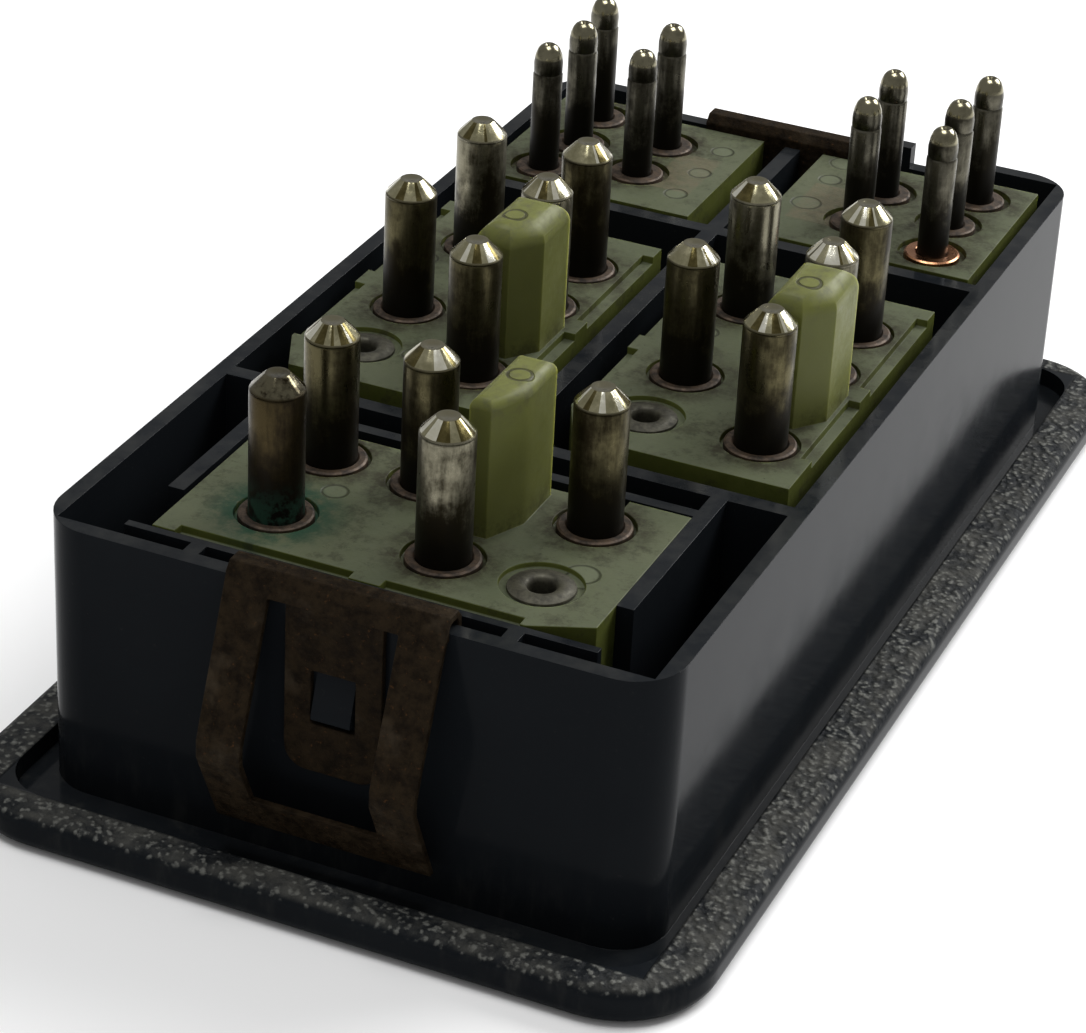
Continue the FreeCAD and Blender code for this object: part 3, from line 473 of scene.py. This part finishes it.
# ---------------------------------------------------------------------------
# Where things are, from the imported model
# ---------------------------------------------------------------------------
def loose_centres(node):
    """The middle of every separate solid in a CAD node, in the ground plane, to the nearest micrometre."""
    bm = bmesh.new()
    bm.from_mesh(nodes[node].data)
    bmesh.ops.remove_doubles(bm, verts=bm.verts, dist=2e-6)
    left, found = set(bm.verts), []
    while left:
        stack, group = [left.pop()], []
        while stack:
            vert = stack.pop()
            group.append(vert.co.copy())
            for edge in vert.link_edges:
                other = edge.other_vert(vert)
                if other in left:
                    left.remove(other)
                    stack.append(other)
        found.append((round((min(c.x for c in group) + max(c.x for c in group)) / 2, 6),
                      round((min(c.y for c in group) + max(c.y for c in group)) / 2, 6)))
    bm.free()
    return sorted(found)


body_of = {}
for body_name, members in frame["record"]["behaviour"]["bodies"].items():
    for member in members:
        body_of[member] = body_name

pins_of = {module: loose_centres(module + "_terminal_pins") for module in LONG + SQUARE}
# The pin nearest the outer corner has gone green at its foot.
CORRODED_PIN = min(pins_of["near"], key=lambda centre: centre[0] + centre[1])

case_plastic = make_case_plastic()
rust = make_rust()
key_nylon = make_key_nylon()
# Cone flat finishes, dark, middle and bright: painted glints and painted dark reflections, dealt to the tip
# flats at random.
CONE_GLINT_FLATS = [make_metal("cone_flat_painted_dark", rgb(0.075, 0.062, 0.022), rgb(0.15, 0.125, 0.05), 1.2, 0.16, 0.3),
              make_metal("cone_flat", rgb(0.28, 0.26, 0.15), rgb(0.42, 0.39, 0.25), 1.2, 0.14, 0.28),
              make_metal("cone_flat_painted_glint", rgb(0.80, 0.77, 0.60), rgb(0.92, 0.90, 0.78), 1.2, 0.12, 0.24)]
copper = make_metal("collar_copper", rgb(0.075, 0.048, 0.028), rgb(0.012, 0.0085, 0.005), 0.8,
                    0.50, 0.75, 0.45)
bright_copper = make_metal("bright_copper", rgb(0.52, 0.26, 0.14), rgb(0.30, 0.14, 0.07), 0.9, 0.22, 0.36)
dull_ring = make_metal("dull_ring", rgb(0.070, 0.066, 0.045), rgb(0.020, 0.018, 0.011), 0.9, 0.45, 0.70, 0.5)
steel = make_metal("ground_steel", rgb(0.42, 0.42, 0.42), rgb(0.56, 0.56, 0.55), 0.8, 0.24, 0.38)
spring_wire = make_metal("spring_wire", rgb(0.36, 0.36, 0.37), rgb(0.52, 0.52, 0.52), 0.4, 0.25, 0.36)
brass = make_metal("contact_brass", rgb(0.55, 0.37, 0.14), rgb(0.40, 0.25, 0.09), 1.6, 0.24, 0.42)
body_plastic = make_metal("body_nylon", rgb(0.086, 0.097, 0.032), rgb(0.054, 0.061, 0.0180), 4.0,
                          0.42, 0.58, 0.0)
button_plastic = make_button_plastic()
white_plastic = make_white_plastic()
thick_metal = make_pin_metal("thick_pin_plating", rgb(0.100, 0.088, 0.046), rgb(0.017, 0.013, 0.005), 7.0)
silver_metal = make_pin_metal("bright_pin_plating", rgb(0.230, 0.215, 0.155), rgb(0.020, 0.016, 0.007), 6.5)
thin_metal = make_pin_metal("thin_pin_plating", rgb(0.115, 0.108, 0.082), rgb(0.014, 0.012, 0.007), 6.5, 0.3)
verdigris_metal = make_pin_metal("verdigris_pin", rgb(0.050, 0.038, 0.018), rgb(0.014, 0.010, 0.005),
                                 6.5, 1.0, True)


# ---------------------------------------------------------------------------
# Case, clips and switch bodies
# ---------------------------------------------------------------------------
softened("switch_bezel", "moulded_case", "base", case_plastic, 0.22)
softened("near_panel_clip", "near_spring_clip", "base", rust, 0.12)
softened("far_panel_clip", "far_spring_clip", "base", rust, 0.12)
for module in LONG + SQUARE:
    softened(module + "_switch_body", module + "_moulded_body", "base", body_plastic, 0.15)
    softened(module + "_rocker", module + "_button_cap", body_of[module + "_rocker"],
             button_plastic, 0.30, 3)


# ---------------------------------------------------------------------------
# Terminal plates
# ---------------------------------------------------------------------------
def plate_marks(module):
    """Ejector marks that stay clear of the pins."""
    low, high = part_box(module + "_terminal_plate")
    marks = []
    tries = 0
    while len(marks) < 3 and tries < 200:
        tries += 1
        radius = rng.choice((1.0, 1.3))
        x = rng.uniform(low.x / MM + 2.2, high.x / MM - 2.2)
        y = rng.uniform(low.y / MM + 2.2, high.y / MM - 2.2)
        blocked = [(px / MM, py / MM, 3.4) for px, py in pins_of[module]] + marks
        if all(math.hypot(x - bx, y - by) > r + radius + 0.4 for bx, by, r in blocked):
            marks.append((x, y, radius))
    return marks


for module in LONG + SQUARE:
    node = module + "_terminal_plate"
    label = None
    if module in SQUARE:
        low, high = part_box(node)
        side = 1 if module == "far_right" else -1
        inner = min(abs(low.x), abs(high.x)) / MM
        xs = sorted((side * (inner + 1.6), side * (inner + 5.4)))
        label = ((xs[0], low.y / MM + 4.2), (xs[1], low.y / MM + 11.8))
    nylon = make_nylon(module + "_nylon", pins_of[module], 3.0 if module in LONG else 2.8, label,
                       plate_marks(module), CORRODED_PIN if module == "near" else None)
    plate = softened(node, module + "_nylon_plate", "base", nylon, 0.18)
    if module in LONG:
        plate.data.materials.append(key_nylon)
        for face in plate.data.polygons:
            if max(plate.data.vertices[i].co.z for i in face.vertices) > RIM + 0.2 * MM:
                face.material_index = 1


# ---------------------------------------------------------------------------
# Pins, collars and eyelets
# ---------------------------------------------------------------------------
# Outlines are (radius, height) in millimetres, from the foot up.
THICK_PIN = [(0, 19.7), (1.7, 19.7), (1.7, 20.3), (1.2, 20.3), (1.2, 22.5), (1.88, 22.5), (2.0, 22.65),
             (2.0, 27.0), (2.0, 32.55), (1.96, 32.66), (1.99, 32.76), (1.93, 32.9), (1.45, 33.42),
             (0.98, 33.90), (0.86, 33.98), (0.55, 33.99), (0.42, 33.93), (0, 33.93)]
# Its cone: where the flats start and end in the outline, how deep they are cut, and which slots they take;
# the slots hold dark, middle and bright colours, painted glints on the flats.
CONE_START, CONE_END, CONE_SLOTS = 11, 14, (3, 4, 4, 5)
FLUTES = {11: (11, 0.03), 12: (11, 0.07), 13: (11, 0.05)}
THICK_WASHER = [(2.0, 22.52), (2.72, 22.52), (2.75, 22.60), (2.70, 22.98), (2.55, 23.08), (2.14, 23.08),
                (2.02, 22.98), (2.0, 22.52)]
THIN_PIN = [(0, 19.7), (1.2, 19.7), (1.2, 20.3), (0.8, 20.3), (0.8, 22.5), (1.18, 22.5), (1.25, 22.6),
            (1.25, 26.0), (1.25, 31.35), (1.20, 31.45), (1.16, 31.52), (1.20, 31.62), (1.22, 32.4),
            (1.12, 33.1), (0.92, 33.60), (0.70, 33.86), (0.50, 33.97), (0.34, 33.93), (0.22, 33.80),
            (0, 33.80)]
THIN_WASHER = [(1.25, 22.52), (2.26, 22.52), (2.3, 22.60), (2.26, 22.95), (2.12, 23.05), (1.42, 23.05),
               (1.27, 22.95), (1.25, 22.52)]
GILT, BRIGHT, GREEN = 0, 1, 2

for module in LONG + SQUARE:
    thick = module in LONG
    bm = bmesh.new()
    rings = bmesh.new()
    for number, centre in enumerate(pins_of[module]):
        if thick:
            plating_slot = GILT
            if module == "near":
                plating_slot = GREEN if centre == CORRODED_PIN else number % 2
            elif number in (1, 3):
                plating_slot = BRIGHT
            # Painted glints: every cone but the green pin's gets flats in random dark, middle and bright
            # colours.
            glint_band = None if plating_slot == GREEN else (CONE_START, CONE_END, CONE_SLOTS)
            lathe(bm, THICK_PIN, centre, 48, FLUTES, plating_slot, glint_band)
        else:
            lathe(bm, THIN_PIN, centre, 40)
        # One washer on the far right is still shiny copper.
        shiny = module == "far_right" and number == 3
        lathe(rings, THICK_WASHER if thick else THIN_WASHER, centre, 48, None, 1 if shiny else 0)
    plating = [thick_metal, silver_metal, verdigris_metal] + CONE_GLINT_FLATS if thick else [thin_metal]
    new_piece(module + "_round_pins", finish_mesh(bm, module + "_round_pins"), "base", plating,
              (module + "_terminal_pins",))
    new_piece(module + "_pin_washers", finish_mesh(rings, module + "_pin_washers"), "base",
              [copper, bright_copper], (module + "_pin_collars",))

EYELET = [(1.0, 20.2), (1.27, 20.2), (1.3, 20.3), (1.3, 22.60), (2.38, 22.60), (2.45, 22.66), (2.40, 22.80),
          (2.15, 22.84), (1.95, 22.92), (1.60, 23.0), (1.25, 22.96), (1.05, 22.80), (1.0, 22.5), (1.0, 20.2)]
for module in LONG:
    bm = bmesh.new()
    lathe(bm, EYELET, loose_centres(module + "_eyelet")[0], 56)
    new_piece(module + "_rolled_eyelet", finish_mesh(bm, module + "_rolled_eyelet", 60), "base",
              [dull_ring], (module + "_eyelet",))


# ---------------------------------------------------------------------------
# Inner works keep their CAD shape
# ---------------------------------------------------------------------------
INNER = {"pivot_pin": steel, "plungers": white_plastic, "plunger_springs": spring_wire,
         "contact_blades": brass, "contact_strips": brass}
for module in LONG + SQUARE:
    for tail, material in INNER.items():
        mesh = nodes["%s_%s" % (module, tail)].data
        mesh.materials.clear()
        mesh.materials.append(material)


# ---------------------------------------------------------------------------
# Floor, light and camera
# ---------------------------------------------------------------------------
FLOOR_HALF = 3.0
FLOOR_DROP = 0.05 * MM
bm = bmesh.new()
bmesh.ops.create_grid(bm, x_segments=2, y_segments=2, size=FLOOR_HALF)
floor_mesh = bpy.data.meshes.new("floor")
bm.to_mesh(floor_mesh)
bm.free()
floor_mesh.materials.append(make_floor())
floor = bpy.data.objects.new("floor", floor_mesh)
bpy.context.scene.collection.objects.link(floor)
floor.location.z = cad_box[0][2] - FLOOR_DROP


def soft_lamp(name, place, target, size, watts):
    lamp = bpy.data.lights.new(name, "AREA")
    lamp.shape = "RECTANGLE"
    lamp.size, lamp.size_y = size
    lamp.energy = watts
    made = bpy.data.objects.new(name, lamp)
    made.location = place
    made.rotation_euler = (Vector(target) - Vector(place)).to_track_quat("-Z", "Y").to_euler()
    bpy.context.scene.collection.objects.link(made)


soft_lamp("back_key", (0.34, 0.62, 0.52), (0, 0.02, 0.0), (0.60, 0.42), 9.0)
soft_lamp("overhead", (-0.05, -0.05, 0.80), (0, 0, 0.0), (0.42, 0.34), 3.4)

bpy.context.scene.view_settings.view_transform = "Standard"
world = bpy.data.worlds.new("studio")
bpy.context.scene.world = world
world.use_nodes = True
background = world.node_tree.nodes["Background"]
background.inputs["Color"].default_value = (1.0, 1.0, 1.0, 1.0)
background.inputs["Strength"].default_value = 0.36

CAMERA_AT = Vector((0.091891, -0.232748, 0.147795))
CAMERA_AIM = Vector((-0.008325, 0.008855, 0.0))
CAMERA_ROLL = -0.053  # radians
SENSOR_MM, LENS_MM = 36.0, 119.57
camera_data = bpy.data.cameras.new("camera")
camera_data.sensor_width = SENSOR_MM
camera_data.sensor_fit = "HORIZONTAL"
camera_data.lens = LENS_MM
camera_data.clip_start = 0.01
camera = bpy.data.objects.new("camera", camera_data)
ahead = (CAMERA_AIM - CAMERA_AT).normalized()
right = ahead.cross(Vector((0, 0, 1))).normalized()
up = right.cross(ahead)
turned_right = right * math.cos(CAMERA_ROLL) - up * math.sin(CAMERA_ROLL)
turned_up = right * math.sin(CAMERA_ROLL) + up * math.cos(CAMERA_ROLL)
camera.matrix_world = Matrix.Translation(CAMERA_AT) @ Matrix(
    (turned_right, turned_up, -ahead)).transposed().to_4x4()
bpy.context.scene.collection.objects.link(camera)
bpy.context.scene.camera = camera
